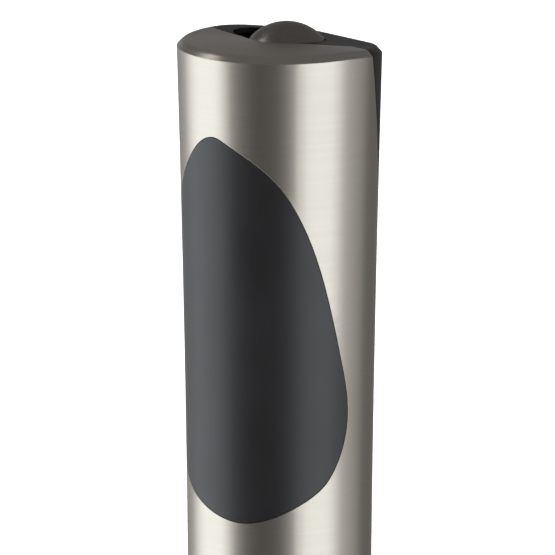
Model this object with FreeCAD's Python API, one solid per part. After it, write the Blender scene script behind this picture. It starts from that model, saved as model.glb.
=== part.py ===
# An upright electric can opener: a slim brushed-steel tower on an oval base.
# Millimetres. +Z is up, -Y is the front where the can hangs, +X is the user's right.
# The origin is on the surface it stands on, under the middle of the base.
import FreeCAD, Part
import math
import os

V = FreeCAD.Vector
X_AXIS, Y_AXIS, Z_AXIS = V(1, 0, 0), V(0, 1, 0), V(0, 0, 1)
FRONT = V(0, -1, 0)

# ---- Driving dimensions ----------------------------------------------------------------
# tower
tower_top = 245.5          # level rear part of the top face
tower_foot = 20.0          # where the tower's shell stands on the base
tower_y = 16.0             # tower axis, behind the middle of the base
top_radius = 39.0
foot_radius = 35.0
waist_sag = 0.6            # how far the side bows inwards half way up
steel_wall = 1.0
cover_wall = 2.2
shoulder = 2.3             # sloping shoulder between the wall and the top face
shoulder_blend = 3.0       # radius that eases the shoulder into the top face
shoulder_edge = 0.4        # radius where the wall meets the shoulder
slope_start = 3.9          # the top face slopes down in front of this line
slope_angle = 6.4          # degrees
slope_blend = 8.0          # length of the bend on each side of that line
flat_depth = 7.0           # the can's flat face, behind the rim's radius
flat_drop = 94.0           # where that flat starts to curve out again, below the top
flat_run_out = 28.0        # height of the curve that leads out of the flat
seam_gap = 0.5
lip_reach = 3.0            # how far the cover reaches under the steel
lip_clearance = 0.25
insert_depth = 5.2         # how deep the seam across the top face is cut
opening_depth = 14.0

# base
base_width = 112.0
base_depth = 128.0
base_height = 18.0
base_round = 7.0
base_wall = 2.5
collar_width = 2.6
collar_height = 3.0
foot_pad_height = 2.0
foot_pad_radius = 6.0
plate_sheet = 1.6
ballast_thickness = 6.0
cord_bore = 3.2
gland_wall = 1.3

# knob and cutting lever
dome_radius = 14.3
dome_rise = 6.6
dome_skirt = 1.4
dome_wall = 1.2
dome_sink = 1.15           # base of the dome, below the top face
dome_x = 3.0
dome_forward = 6.0
dome_gap = 0.6
dome_slide = 3.0           # extra room to the right, for the dome's swing
pocket_x = 14.8            # centre of the rounded end of the pocket
pocket_radius = 12.5
pocket_forward = 5.5
lever_swing = 18.0         # degrees
pivot_to_cutter = 18.5
pivot_below_cutter = 3.2
pivot_radius = 3.0
lever_thickness = 4.0
arm_half = 4.5
bar_half = 4.0
bar_height = 5.0
bar_below_top = 7.5
press_end_x = 17.0         # end of the arm that works the switch
press_end_half = 3.5
engaged_x = 2.0

# cutting and driving
drive_drop = 42.5          # drive shaft below the top face
drive_radius = 6.5
drive_teeth = 20
drive_tooth_depth = 0.7
drive_width = 4.4
drive_stand_off = 1.6      # rear of the drive wheel in front of the flat
cutter_radius = 11.0
cutter_thickness = 1.6
cutter_overlap = 0.8       # how far the cutter passes the drive wheel
cutter_gap = 0.3           # between the planes of the two wheels
shaft_radius = 4.0
spigot_radius = 2.5
bush_wall = 2.2

# gears, all of one module
module = 0.8
pinion_teeth = 12
final_teeth = 54
second_teeth = 48
first_teeth = 50
addendum = 0.85
dedendum = 1.15
pressure_angle = 20.0
backlash = 0.2
axle_radius = 2.0

# layers, as distances in front of the tower's axis
plate_sheet_thickness = 2.0
rear_plate_f = 1.0
layer_gap = 0.5
first_layer = 4.5
final_layer = 5.0
main_plate_gap = 1.0

# motor
core_half_width = 21.0
core_above = 17.4          # from the rotor's axis to the top of the iron
core_below = 35.8
core_stack = 16.0
core_leg = 10.0
core_window_half = 14.0
core_window_height = 10.0
rotor_radius = 12.1
rotor_gap = 0.4
coil_half_width = 13.0
coil_depth = 5.7
bobbin_wall = 1.0
motor_to_plate = 5.0       # front of the iron behind the gear plate
bracket_sheet = 1.5

# magnet
magnet_x = 17.5
magnet_reach = 16.0
magnet_radius = 7.0
cup_radius = 8.2
cup_height = 5.0
arm_width = 3.6

# fits and fasteners
running_fit = 0.05
seat_fit = 0.02
frame_clearance = 0.5      # from the iron's corners to the inner frame
frame_wall = 1.8
screw_radius = 1.5
screw_head_radius = 2.8
screw_head_height = 1.6

# ---- Sizes that follow from them -------------------------------------------------------
flat_f = top_radius - flat_depth
cover_back_f = flat_f - cover_wall
drive_z = tower_top - drive_drop
second_z = drive_z - module * (final_teeth + pinion_teeth) / 2
first_z = second_z - module * (second_teeth + pinion_teeth) / 2
rotor_z = first_z - module * (first_teeth + pinion_teeth) / 2

rear_plate_front_f = rear_plate_f + plate_sheet_thickness
first_f = (rear_plate_front_f + main_plate_gap, rear_plate_front_f + main_plate_gap + first_layer)
second_f = (first_f[1] + layer_gap, first_f[1] + layer_gap + first_layer)
final_f = (second_f[1] + layer_gap, second_f[1] + layer_gap + final_layer)
main_f = (final_f[1] + main_plate_gap, final_f[1] + main_plate_gap + plate_sheet_thickness)

lever_f = (cover_back_f - 1.3 - lever_thickness, cover_back_f - 1.3)
drive_f = (flat_f + drive_stand_off, flat_f + drive_stand_off + drive_width)
cutter_f = (drive_f[1] + cutter_gap, drive_f[1] + cutter_gap + cutter_thickness)

swing = math.radians(lever_swing)
engaged_z = drive_z + drive_radius + cutter_radius - cutter_overlap
pivot_x = engaged_x - pivot_to_cutter
pivot_z = engaged_z - pivot_below_cutter
cutter_x = pivot_x + pivot_to_cutter * math.cos(swing) - pivot_below_cutter * math.sin(swing)
cutter_z = pivot_z + pivot_to_cutter * math.sin(swing) + pivot_below_cutter * math.cos(swing)

dome_z = tower_top - dome_sink
bar_z = (tower_top - bar_below_top - bar_height, tower_top - bar_below_top)

core_back_f = rear_plate_f - motor_to_plate - core_stack
core_front_f = core_back_f + core_stack
core_bottom = rotor_z - core_below
core_top = rotor_z + core_above
frame_inner = math.hypot(core_half_width, core_back_f - bracket_sheet) + frame_clearance
frame_outer = frame_inner + frame_wall

spigot_outer = foot_radius - steel_wall - 0.1
collar_inner = foot_radius + 0.25
collar_outer = collar_inner + collar_width
floor_z = tower_foot - collar_height


# ---- Small helpers ---------------------------------------------------------------------
def at(x, f, z):
    """A point f millimetres in front of the tower's axis."""
    return V(x, tower_y - f, z)


def rod_y(radius, f0, f1, x, z):
    return Part.makeCylinder(radius, f1 - f0, at(x, f0, z), FRONT)


def rod_x(radius, x0, x1, f, z):
    return Part.makeCylinder(radius, x1 - x0, at(x0, f, z), X_AXIS)


def rod_z(radius, z0, z1, x, f):
    return Part.makeCylinder(radius, z1 - z0, at(x, f, z0), Z_AXIS)


def ring_y(inner, outer, f0, f1, x, z):
    return rod_y(outer, f0, f1, x, z).cut(rod_y(inner, f0 - 1, f1 + 1, x, z))


def block(x0, x1, f0, f1, z0, z1):
    return Part.makeBox(x1 - x0, f1 - f0, z1 - z0, at(x0, f1, z0))


def link_y(p, q, radius, f0, f1):
    """A bar with round ends between two (x, z) points."""
    dx, dz = q[0] - p[0], q[1] - p[1]
    length = math.hypot(dx, dz)
    nx, nz = -dz / length * radius, dx / length * radius
    corners = [(p[0] + nx, p[1] + nz), (q[0] + nx, q[1] + nz), (q[0] - nx, q[1] - nz), (p[0] - nx, p[1] - nz)]
    points = [at(x, f0, z) for x, z in corners]
    middle = Part.Face(Part.makePolygon(points + points[:1])).extrude(FRONT * (f1 - f0))
    return join([middle, rod_y(radius, f0, f1, *p), rod_y(radius, f0, f1, *q)])


def slot_z(x0, x1, radius, f, z0, z1):
    """An upright slot with round ends, running along X."""
    return join([rod_z(radius, z0, z1, x0, f), rod_z(radius, z0, z1, x1, f), block(x0, x1, f - radius, f + radius, z0, z1)])


def join(solids):
    return solids[0].multiFuse(solids[1:]).removeSplitter()


def side_wire(edges):
    return Part.Face(Part.Wire(Part.__sortEdges__(edges)))


def ellipse_block(half_x, half_y, z0, z1):
    along_x, along_y = V(half_x, 0, z0), V(0, half_y, z0)
    major, minor = (along_y, along_x) if half_y >= half_x else (along_x, along_y)
    edge = Part.Ellipse(major, minor, V(0, 0, z0)).toShape()
    return Part.Face(Part.Wire([edge])).extrude(V(0, 0, z1 - z0))


def screw_y(f_head, f_end, x, z, head_forward, head_radius=screw_head_radius):
    """A pan-head screw along Y; f_head is the seat of its head."""
    if head_forward:
        head = rod_y(head_radius, f_head, f_head + screw_head_height, x, z)
        shank = rod_y(screw_radius - 0.1, f_end, f_head, x, z)
    else:
        head = rod_y(head_radius, f_head - screw_head_height, f_head, x, z)
        shank = rod_y(screw_radius - 0.1, f_head, f_end, x, z)
    return join([head, shank])


nodes = {}


def add(name, shape):
    nodes[name] = shape


# ---- The tower's outer form ------------------------------------------------------------
def side_radius(z):
    """Radius of the tower's side at height z."""
    share = (z - tower_foot) / (tower_top - tower_foot)
    return foot_radius + (top_radius - foot_radius) * share - 4 * waist_sag * share * (1 - share)


def top_slope(drop):
    """The prism above the sloping front part of the top face, lowered by drop."""
    beta = math.radians(slope_angle)
    reach = top_radius + 12
    level = tower_top - drop
    start = V(0, tower_y - (slope_start - slope_blend), level)
    end = V(0, tower_y - (slope_start + slope_blend * math.cos(beta)), level - slope_blend * math.sin(beta))
    bend_radius = slope_blend / math.tan(beta / 2)
    sag = bend_radius * (1 / math.cos(beta / 2) - 1)
    middle = V(0, tower_y - slope_start + sag * math.sin(beta / 2), level - sag * math.cos(beta / 2))
    far = V(0, tower_y - reach, level - (reach - slope_start) * math.tan(beta))
    above_far = V(0, tower_y - reach, tower_top + 20)
    above_start = V(0, start.y, tower_top + 20)
    edges = [
        Part.Arc(start, middle, end).toShape(),
        Part.makeLine(end, far),
        Part.makeLine(far, above_far),
        Part.makeLine(above_far, above_start),
        Part.makeLine(above_start, start),
    ]
    face = side_wire(edges)
    face.translate(V(-reach - 10, 0, 0))
    return face.extrude(V(2 * reach + 20, 0, 0))


def tower_body(inset, z0=tower_foot):
    """The tower's form, every surface moved inwards by inset."""
    top = tower_top - inset
    steps = 6
    heights = [z0 + (top - z0) * step / steps for step in range(steps + 1)]
    points = [V(side_radius(z) - inset, 0, z) for z in heights]
    side = Part.BSplineCurve()
    side.interpolate(points)
    edges = [
        Part.makeLine(V(0, 0, z0), points[0]),
        side.toShape(),
        Part.makeLine(points[-1], V(0, 0, top)),
        Part.makeLine(V(0, 0, top), V(0, 0, z0)),
    ]
    body = side_wire(edges).revolve(V(0, 0, 0), Z_AXIS, 360)
    body.translate(V(0, tower_y, 0))
    return Part.makeSolid(body.Shells[0]).cut(top_slope(inset))


def scoop(shift):
    """What is cut away in front of the can's flat face, moved back by shift."""
    f = flat_f - shift
    bottom = tower_top - flat_drop - shift
    out_f = side_radius(bottom) + 3
    corner = at(0, f, bottom)
    bend = at(0, f + (out_f - f) * 0.3, bottom - flat_run_out * 0.6)
    out = at(0, out_f, bottom - flat_run_out)
    far_low = at(0, top_radius + 30, bottom - flat_run_out)
    far_high = at(0, top_radius + 30, tower_top + 20)
    near_high = at(0, f, tower_top + 20)
    edges = [
        Part.Arc(corner, bend, out).toShape(),
        Part.makeLine(out, far_low),
        Part.makeLine(far_low, far_high),
        Part.makeLine(far_high, near_high),
        Part.makeLine(near_high, corner),
    ]
    face = side_wire(edges)
    face.translate(V(-top_radius - 10, 0, 0))
    return face.extrude(V(2 * top_radius + 20, 0, 0))


# The seam between steel and cover: (distance in front of the axis, drop below the top).
seam_tip_drop = 149.5
seam_tip = (side_radius(tower_top - seam_tip_drop) + 0.1, seam_tip_drop)
seam_left = [(top_radius - 24.2, -2.0), (top_radius - 12.0, 62.5), seam_tip]
seam_right = [(-4.5, -2.0), (top_radius - 23.0, 62.5), seam_tip]
# The same seam across the top face: (x, y from the axis), from the right rim to the left.
seam_top = [(44.0, 1.4), (26.0, 6.2), (14.0, 7.8), (3.0, 7.8), (-4.8, 5.5), (-12.0, -0.2), (-19.3, -6.8), (-24.5, -19.0)]


def seam_side(points, x0, x1, forward):
    """Everything in front of one side's seam, moved forward."""
    low_f, low_drop = points[2]
    arc = [at(x0, f + forward, tower_top - drop) for f, drop in points]
    reach = top_radius + 30
    far_low = at(x0, reach, tower_top - low_drop)
    far_high = at(x0, reach, arc[0].z)
    edges = [
        Part.Arc(*arc).toShape(),
        Part.makeLine(arc[2], far_low),
        Part.makeLine(far_low, far_high),
        Part.makeLine(far_high, arc[0]),
    ]
    return side_wire(edges).extrude(V(x1 - x0, 0, 0))


def seam_insert(forward):
    """The part of the top face that belongs to the cover, moved forward."""
    low = tower_top - insert_depth
    points = [V(x + forward * 0.7, tower_y + y - forward, low) for x, y in seam_top]
    curve = Part.BSplineCurve()
    curve.interpolate(points)
    reach = top_radius + 30
    right_far = V(points[0].x, tower_y - reach, low)
    left_far = V(points[-1].x, tower_y - reach, low)
    edges = [
        curve.toShape(),
        Part.makeLine(points[-1], left_far),
        Part.makeLine(left_far, right_far),
        Part.makeLine(right_far, points[0]),
    ]
    return side_wire(edges).extrude(V(0, 0, insert_depth + 20))


def cover_region(forward):
    reach = top_radius + 20
    left = seam_side(seam_left, -reach, 0, forward)
    right = seam_side(seam_right, 0, reach, forward)
    return join([left, right, seam_insert(forward)])


# ---- Grip: its outline is wrapped round the tower --------------------------------------
# (degrees from the back towards the user's left, height above the grip's middle)
grip_drop = 106.7
grip_thickness = 2.6
grip_gap = 0.3
grip_lip = 2.0
grip_outline = [
    (14, 73.9), (38, 64.6), (59, 48.2), (76, 21.5), (90, -11.3), (95.5, -38.0), (84, -55.9),
    (57, -68.4), (26, -74.1), (-8, -68.4), (-38, -51.3), (-50, -11.3), (-40, 40.0), (-14, 64.6),
]


def grip_region(grow):
    """A radial solid through the wall, its outline grown by grow."""
    angles = [angle for angle, height in grip_outline]
    middle_angle = (max(angles) + min(angles)) / 2
    half_width = math.radians(max(angles) - middle_angle) * side_radius(tower_top - grip_drop)
    half_height = grip_outline[0][1]
    wide = 1 + grow / half_width
    tall = 1 + grow / half_height
    flat_points = []
    for angle, height in grip_outline:
        turned = 90 + middle_angle + (angle - middle_angle) * wide
        flat_points.append(FreeCAD.Base.Vector2d(math.radians(turned), tower_top - grip_drop + height * tall))
    flat_curve = Part.Geom2d.BSplineCurve2d()
    flat_curve.interpolate(flat_points, PeriodicFlag=True)
    faces, edges = [], []
    for radius in (frame_outer * 0.8, top_radius + 10):
        surface = Part.Cylinder()
        surface.Center = V(0, tower_y, 0)
        surface.Radius = radius
        edge = flat_curve.toShape(surface)
        edges.append(edge)
        faces.append(Part.Face(surface, Part.Wire([edge])))
    side = Part.makeRuledSurface(edges[0], edges[1])
    shell = Part.Shell([faces[0], side, faces[1]])
    shell.sewShape()
    solid = Part.Solid(shell)
    solid.fix(0.01, 0.01, 0.01)
    if solid.Volume < 0:
        solid.reverse()
    return solid


# ---- Steel shell, cover and grip -------------------------------------------------------
def rim_edges(body, inset, slack):
    """Edges near the top whose distance from the tower's side is inset, within slack."""
    found = []
    for edge in body.Edges:
        first, last = edge.ParameterRange
        points = [edge.valueAt(first + (last - first) * share) for share in (0.0, 0.3, 0.7, 1.0)]
        depths = [side_radius(p.z) - math.hypot(p.x, p.y - tower_y) for p in points]
        if min(p.z for p in points) > tower_top - 15 and max(abs(d - inset) for d in depths) < slack:
            found.append(edge)
    return found


def bevelled_body(inset, z0=tower_foot):
    """The tower's form moved inwards by inset, with the flat band round its top rim."""
    body = tower_body(inset, z0)
    return body.makeChamfer(shoulder, rim_edges(body, inset, 0.2))


def rounded_body():
    body = bevelled_body(0)
    body = body.makeFillet(shoulder_blend, rim_edges(body, shoulder, 0.6))
    return body.makeFillet(shoulder_edge, rim_edges(body, 0.0, 0.2))


outer_form = rounded_body()
grip_hole = grip_region(0)
steel = outer_form.cut(bevelled_body(steel_wall, tower_foot - 1))
add("steel_shell", steel.cut(cover_region(0)).cut(grip_hole))

grip_face = tower_body(0).common(grip_region(-grip_gap))
grip_back = tower_body(steel_wall + lip_clearance / 2).common(grip_region(grip_lip))
grip = join([grip_face, grip_back]).cut(tower_body(grip_thickness, tower_foot - 1))
add("grip_pad", grip)

stud_radius = 4.5
stud_slot_clearance = 0.8
guide_radius = 1.5
guide_x = 10.0
guide_above = 11.9         # rim guides above the drive shaft
guide_reach = 6.0          # how far they stand in front of the flat
cover_screw_x = 14.0
cover_screw_drops = (20.0, 45.0)   # below the drive shaft
bracket_rivet_radius = 1.4
bracket_z = (pivot_z + 3.5, pivot_z + 15.5)
bracket_rivet_z = (bracket_z[0] + 3.0, bracket_z[1] - 3.0)

skin = outer_form.cut(scoop(0)).common(cover_region(seam_gap))
lip = bevelled_body(steel_wall + lip_clearance).cut(scoop(cover_wall / 2)).common(cover_region(-lip_reach))
inside = tower_body(cover_wall, tower_foot - 1).cut(scoop(cover_wall))
cover = join([skin, lip]).cut(inside)
opening_z = (tower_top - opening_depth, tower_top + 10)
dome_hole = slot_z(dome_x, dome_x + dome_slide, dome_radius + dome_gap, dome_forward, *opening_z)
pocket = slot_z(dome_x, pocket_x, pocket_radius, pocket_forward, *opening_z)
opening = join([dome_hole, pocket])
cover = cover.cut(opening)
nodes["steel_shell"] = nodes["steel_shell"].cut(opening)
through = (cover_back_f - 1, flat_f + 1)
cover = cover.cut(rod_y(shaft_radius + 0.6, *through, 0, drive_z))
stud_path = (cutter_x, cutter_z), (engaged_x, engaged_z)
cover = cover.cut(link_y(*stud_path, stud_radius + stud_slot_clearance, *through))
for side in (-1, 1):
    cover = cover.cut(rod_y(guide_radius + seat_fit, *through, side * guide_x, drive_z + guide_above))
    for drop in cover_screw_drops:
        cover = cover.cut(rod_y(screw_radius, *through, side * cover_screw_x, drive_z - drop))
for z in bracket_rivet_z:
    cover = cover.cut(rod_y(bracket_rivet_radius + seat_fit, *through, magnet_x, z))
add("front_cover", cover)

add("cover_screws", Part.makeCompound([
    screw_y(flat_f, main_f[1] + 1, side * cover_screw_x, drive_z - drop, True)
    for side in (-1, 1) for drop in cover_screw_drops]))
add("can_guides", Part.makeCompound([
    rod_y(guide_radius, cover_back_f, flat_f + guide_reach, side * guide_x, drive_z + guide_above)
    for side in (-1, 1)]))

wear_sheet = 1.0
wear_half = 13.0
wear_below = 13.0
wear_above = 9.4
rivet_below = 9.0
wear = block(-wear_half, wear_half, flat_f, flat_f + wear_sheet, drive_z - wear_below, drive_z + wear_above)
wear = wear.makeFillet(2.5, [e for e in wear.Edges if abs(e.tangentAt(0).y) > 0.9])
wear = wear.cut(rod_y(shaft_radius + 0.6, *(flat_f - 1, flat_f + wear_sheet + 1), 0, drive_z))
rivet_places = [(-9.0, drive_z - rivet_below), (9.0, drive_z - rivet_below)]
rivets = []
for x, z in rivet_places:
    wear = wear.cut(rod_y(1.2 + seat_fit, flat_f - 1, flat_f + wear_sheet + 1, x, z))
    head = rod_y(2.2, flat_f + wear_sheet, flat_f + wear_sheet + 0.5, x, z)
    rivets.append(join([head, rod_y(1.2, cover_back_f, flat_f + wear_sheet, x, z)]))
    nodes["front_cover"] = nodes["front_cover"].cut(rod_y(1.2 + seat_fit, *through, x, z))
add("wear_plate", wear)
add("wear_plate_rivets", Part.makeCompound(rivets))

# ---- Base ------------------------------------------------------------------------------
half_w, half_d = base_width / 2, base_depth / 2
base = ellipse_block(half_w, half_d, foot_pad_height, base_height)
base = base.makeFillet(base_round, [e for e in base.Edges if e.BoundBox.ZMin > base_height - 0.1])
collar = rod_z(collar_outer, base_height - base_round, tower_foot + collar_height, 0, 0)
collar = collar.makeFillet(1.2, [e for e in collar.Edges if e.BoundBox.ZMin > tower_foot + collar_height - 0.1])
base = join([base, collar])
under_deck = base_height - base_wall
hollow = ellipse_block(half_w - base_wall, half_d - base_wall, 0, under_deck)
base = base.cut(hollow)
base = base.cut(rod_z(frame_inner, 0, floor_z, 0, 0))
groove = rod_z(collar_inner, tower_foot, tower_foot + 10, 0, 0).cut(rod_z(spigot_outer, 0, tower_foot + 12, 0, 0))
seat = rod_z(frame_outer + seat_fit, tower_foot, tower_foot + 10, 0, 0)
base = base.cut(groove).cut(seat)
lead_hole_radius = 5.0
base = base.cut(rod_z(lead_hole_radius, 0, tower_foot + 1, 0, 0))
plate_screw_places = [(sx * 42.0, sy * 20.0) for sx in (-1, 1) for sy in (-1, 1)]
foot_places = [(sx * 30.0, sy * 41.0) for sx in (-1, 1) for sy in (-1, 1)]
frame_screw_reach = 24.0
boss_radius = 3.5
plate_top = foot_pad_height + plate_sheet
for x, y in plate_screw_places:
    boss = Part.makeCylinder(boss_radius, under_deck - plate_top + 0.5, V(x, y, plate_top))
    base = base.fuse(boss).cut(Part.makeCylinder(screw_radius, 8, V(x, y, plate_top - 1)))
frame_screw_places = []
for turn in range(4):
    angle = math.radians(45 + 90 * turn)
    frame_screw_places.append((frame_screw_reach * math.cos(angle), frame_screw_reach * math.sin(angle)))
for x, f in frame_screw_places:
    base = base.cut(rod_z(screw_radius, floor_z - 1, tower_foot + 1, x, f))
gland_z = (plate_top + under_deck) / 2
gland_outer = cord_bore + gland_wall
gland_y = half_d * math.sqrt(1 - (gland_outer / half_w) ** 2)
base = base.cut(Part.makeCylinder(gland_outer + seat_fit, base_wall * 3, V(0, half_d - base_wall * 2, gland_z), Y_AXIS))
add("base_tray", base)

gland_inner_y = half_d - base_wall - 0.8
barrel = Part.makeCylinder(gland_outer, gland_y - gland_inner_y, V(0, gland_inner_y, gland_z), Y_AXIS)
inner_lip = Part.makeCylinder(gland_outer + 1.1, 1.6, V(0, gland_inner_y - 1.6, gland_z), Y_AXIS)
bore = Part.makeCylinder(cord_bore, 12, V(0, gland_inner_y - 6, gland_z), Y_AXIS)
add("cord_gland", join([barrel, inner_lip]).cut(bore))

plate = ellipse_block(half_w - base_wall - 0.2, half_d - base_wall - 0.2, foot_pad_height, plate_top)
plate_screws, feet = [], []
peg_radius = 2.5
for x, y in plate_screw_places:
    sink = foot_pad_height + 0.8
    plate = plate.cut(Part.makeCylinder(screw_radius + 0.2, 5, V(x, y, 0)))
    plate = plate.cut(Part.makeCylinder(screw_head_radius + 0.2, sink, V(x, y, 0)))
    head = Part.makeCylinder(screw_head_radius, 0.7, V(x, y, sink - 0.7))
    shank = Part.makeCylinder(screw_radius - 0.1, 7, V(x, y, sink))
    plate_screws.append(join([head, shank]))
for x, y in foot_places:
    plate = plate.cut(Part.makeCylinder(peg_radius + seat_fit, 6, V(x, y, 0)))
    pad = Part.makeCylinder(foot_pad_radius, foot_pad_height, V(x, y, 0))
    pad = pad.makeFillet(0.6, [e for e in pad.Edges if e.BoundBox.ZMax < 0.1])
    feet.append(join([pad, Part.makeCylinder(peg_radius, plate_sheet - 0.1, V(x, y, foot_pad_height))]))
add("base_plate", plate)
add("base_plate_screws", Part.makeCompound(plate_screws))
add("rubber_feet", Part.makeCompound(feet))

ballast_inset = 8.0
ballast_z = plate_top + 0.1
ballast = ellipse_block(half_w - ballast_inset, half_d - ballast_inset, ballast_z, ballast_z + ballast_thickness)
for x, y in plate_screw_places:
    ballast = ballast.cut(Part.makeCylinder(boss_radius + 0.4, 12, V(x, y, 0)))
ballast = ballast.cut(rod_z(lead_hole_radius, 0, tower_foot, 0, 0))
add("ballast_plate", ballast)

# ---- Inner frame -----------------------------------------------------------------------
frame_top = drive_z + 19.0
frame_screw_x = core_half_width + 2.0
frame_screw_heights = (drive_z - 38.0, drive_z - 10.0)
frame_boss_radius = 2.5
tube = rod_z(frame_outer, tower_foot, frame_top, 0, 0).cut(rod_z(frame_inner, tower_foot + 3.0, frame_top + 1, 0, 0))
open_front = block(-top_radius, top_radius, main_f[0] - 0.1, top_radius, tower_foot + 6, frame_top + 1)
frame = tube.cut(open_front)
rib_z = drive_z + 8.0
rib_height = 8.0
rib_half = 1.2
rib_reach = side_radius(rib_z) - grip_thickness - 0.5
ribs = []
for turn in (-65, 0, 65):
    rib = block(-rib_half, rib_half, -rib_reach, 0.5 - frame_outer, rib_z, rib_z + rib_height)
    rib.rotate(at(0, 0, 0), Z_AXIS, turn)
    ribs.append(rib)
parts_of_frame = [frame] + ribs
boss_f = (6.0, main_f[0] - 0.1)
for side in (-1, 1):
    for z in frame_screw_heights:
        boss = rod_y(frame_boss_radius, *boss_f, side * frame_screw_x, z)
        web_x = sorted((side * frame_screw_x, side * frame_outer))
        web = block(*web_x, *boss_f, z - 1.5, z + 1.5).common(rod_z(frame_outer - 0.5, z - 2, z + 2, 0, 0))
        parts_of_frame += [boss, web]
for x, f in frame_screw_places:
    parts_of_frame.append(rod_z(boss_radius, tower_foot + 2, tower_foot + 8, x, f))
frame = join(parts_of_frame)
for side in (-1, 1):
    for z in frame_screw_heights:
        frame = frame.cut(rod_y(screw_radius, boss_f[0] + 2, boss_f[1] + 5, side * frame_screw_x, z))
for x, f in frame_screw_places:
    frame = frame.cut(rod_z(screw_radius, tower_foot - 1, tower_foot + 9, x, f))
frame = frame.cut(rod_z(lead_hole_radius, 0, tower_foot + 5, 0, 0))
add("inner_frame", frame)

base_screws = []
for x, f in frame_screw_places:
    head = rod_z(screw_head_radius, floor_z - screw_head_height, floor_z, x, f)
    shank = rod_z(screw_radius - 0.1, floor_z, tower_foot + 7, x, f)
    base_screws.append(join([head, shank]))
add("base_screws", Part.makeCompound(base_screws))
add("frame_screws", Part.makeCompound([
    screw_y(main_f[1], boss_f[0] + 4, side * frame_screw_x, z, True, frame_boss_radius - 0.3)
    for side in (-1, 1) for z in frame_screw_heights]))

# ---- Mechanism plates ------------------------------------------------------------------
main_half = core_half_width + 2.5
main_low = rotor_z - 10.0
main_high = drive_z + 21.0
rear_half = core_half_width + 1.0
spacer_radius = 2.5
spigot_fit = 1.5
spacer_places = [
    (side * x, z) for side in (-1, 1)
    for x, z in ((20.5, drive_z - 16.0), (20.0, rotor_z + 7.0), (20.5, drive_z + 17.0))]
axle_places = [(0, second_z), (0, first_z)]
bush_outer = shaft_radius + bush_wall
rear_shaft_radius = shaft_radius - 1.0
rear_bush_outer = rear_shaft_radius + bush_wall
pin_hole = pivot_radius + seat_fit

main_plate = block(-main_half, main_half, *main_f, main_low, main_high)
posts = []
for side in (-1, 1):
    for z in frame_screw_heights:
        posts.append(rod_y(frame_boss_radius + 0.5, *main_f, side * frame_screw_x, z))
    for drop in cover_screw_drops:
        posts.append(rod_y(3.0, main_f[0], cover_back_f, side * cover_screw_x, drive_z - drop))
spring_x = 9.5
spring_radius = 2.6
spring_wire = 0.8
spring_seat_z = drive_z - 5.0
spring_f = (lever_f[0] + lever_f[1]) / 2 - 1.0
perch = block(spring_x - 3.4, spring_x + 3.4, main_f[0], spring_f + 3.4, spring_seat_z - 1.6, spring_seat_z)
main_plate = join([main_plate, perch] + posts)
plate_cut = (main_f[0] - 1, main_f[1] + 1)
main_plate = main_plate.cut(rod_y(bush_outer + seat_fit, *plate_cut, 0, drive_z))
main_plate = main_plate.cut(rod_y(pin_hole, *plate_cut, pivot_x, pivot_z))
for x, z in axle_places:
    main_plate = main_plate.cut(rod_y(axle_radius + seat_fit, *plate_cut, x, z))
for x, z in spacer_places:
    main_plate = main_plate.cut(rod_y(spigot_fit + seat_fit, *plate_cut, x, z))
for side in (-1, 1):
    for z in frame_screw_heights:
        main_plate = main_plate.cut(rod_y(screw_radius, *plate_cut, side * frame_screw_x, z))
    for drop in cover_screw_drops:
        hole = rod_y(screw_radius, main_f[0] - 1, cover_back_f + 1, side * cover_screw_x, drive_z - drop)
        main_plate = main_plate.cut(hole)
add("mechanism_plate", main_plate)

rear_f = (rear_plate_f, rear_plate_front_f)
rear_cut = (rear_f[0] - 1, rear_f[1] + 1)
motor_screw_x = 16.0
motor_screw_offsets = (-10.6, 12.4)
motor_screw_places = [(side * motor_screw_x, rotor_z + dz) for side in (-1, 1) for dz in motor_screw_offsets]
rear_plate = block(-rear_half, rear_half, *rear_f, rotor_z - 16.0, main_high)
rear_plate = rear_plate.cut(rod_y(rear_bush_outer + seat_fit, *rear_cut, 0, drive_z))
rear_plate = rear_plate.cut(rod_y(axle_radius + 1.0, *rear_cut, 0, rotor_z))
for x, z in axle_places:
    rear_plate = rear_plate.cut(rod_y(axle_radius + seat_fit, *rear_cut, x, z))
for x, z in spacer_places:
    rear_plate = rear_plate.cut(rod_y(spigot_fit + seat_fit, *rear_cut, x, z))
for x, z in motor_screw_places:
    rear_plate = rear_plate.cut(rod_y(screw_radius, *rear_cut, x, z))
add("gear_plate", rear_plate)

spacers = []
for x, z in spacer_places:
    body = rod_y(spacer_radius, rear_f[1], main_f[0], x, z)
    spacers.append(join([body, rod_y(spigot_fit, rear_f[0] - 0.4, main_f[1] + 0.4, x, z)]))
add("plate_spacers", Part.makeCompound(spacers))
add("idler_axles", Part.makeCompound([rod_y(axle_radius, rear_f[0], main_f[1], x, z) for x, z in axle_places]))

shaft_bore = shaft_radius + running_fit
rear_bore = rear_shaft_radius + running_fit
add("shaft_bush_front", ring_y(shaft_bore, bush_outer, main_f[0] - 0.6, main_f[1] + 0.3, 0, drive_z))
add("shaft_bush_rear", ring_y(rear_bore, rear_bush_outer, rear_f[0] - 1.5, rear_f[1] + 0.8, 0, drive_z))
pin = rod_y(pivot_radius, main_f[0], cover_back_f - 0.2, pivot_x, pivot_z)
add("lever_pivot_pin", pin)


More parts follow.
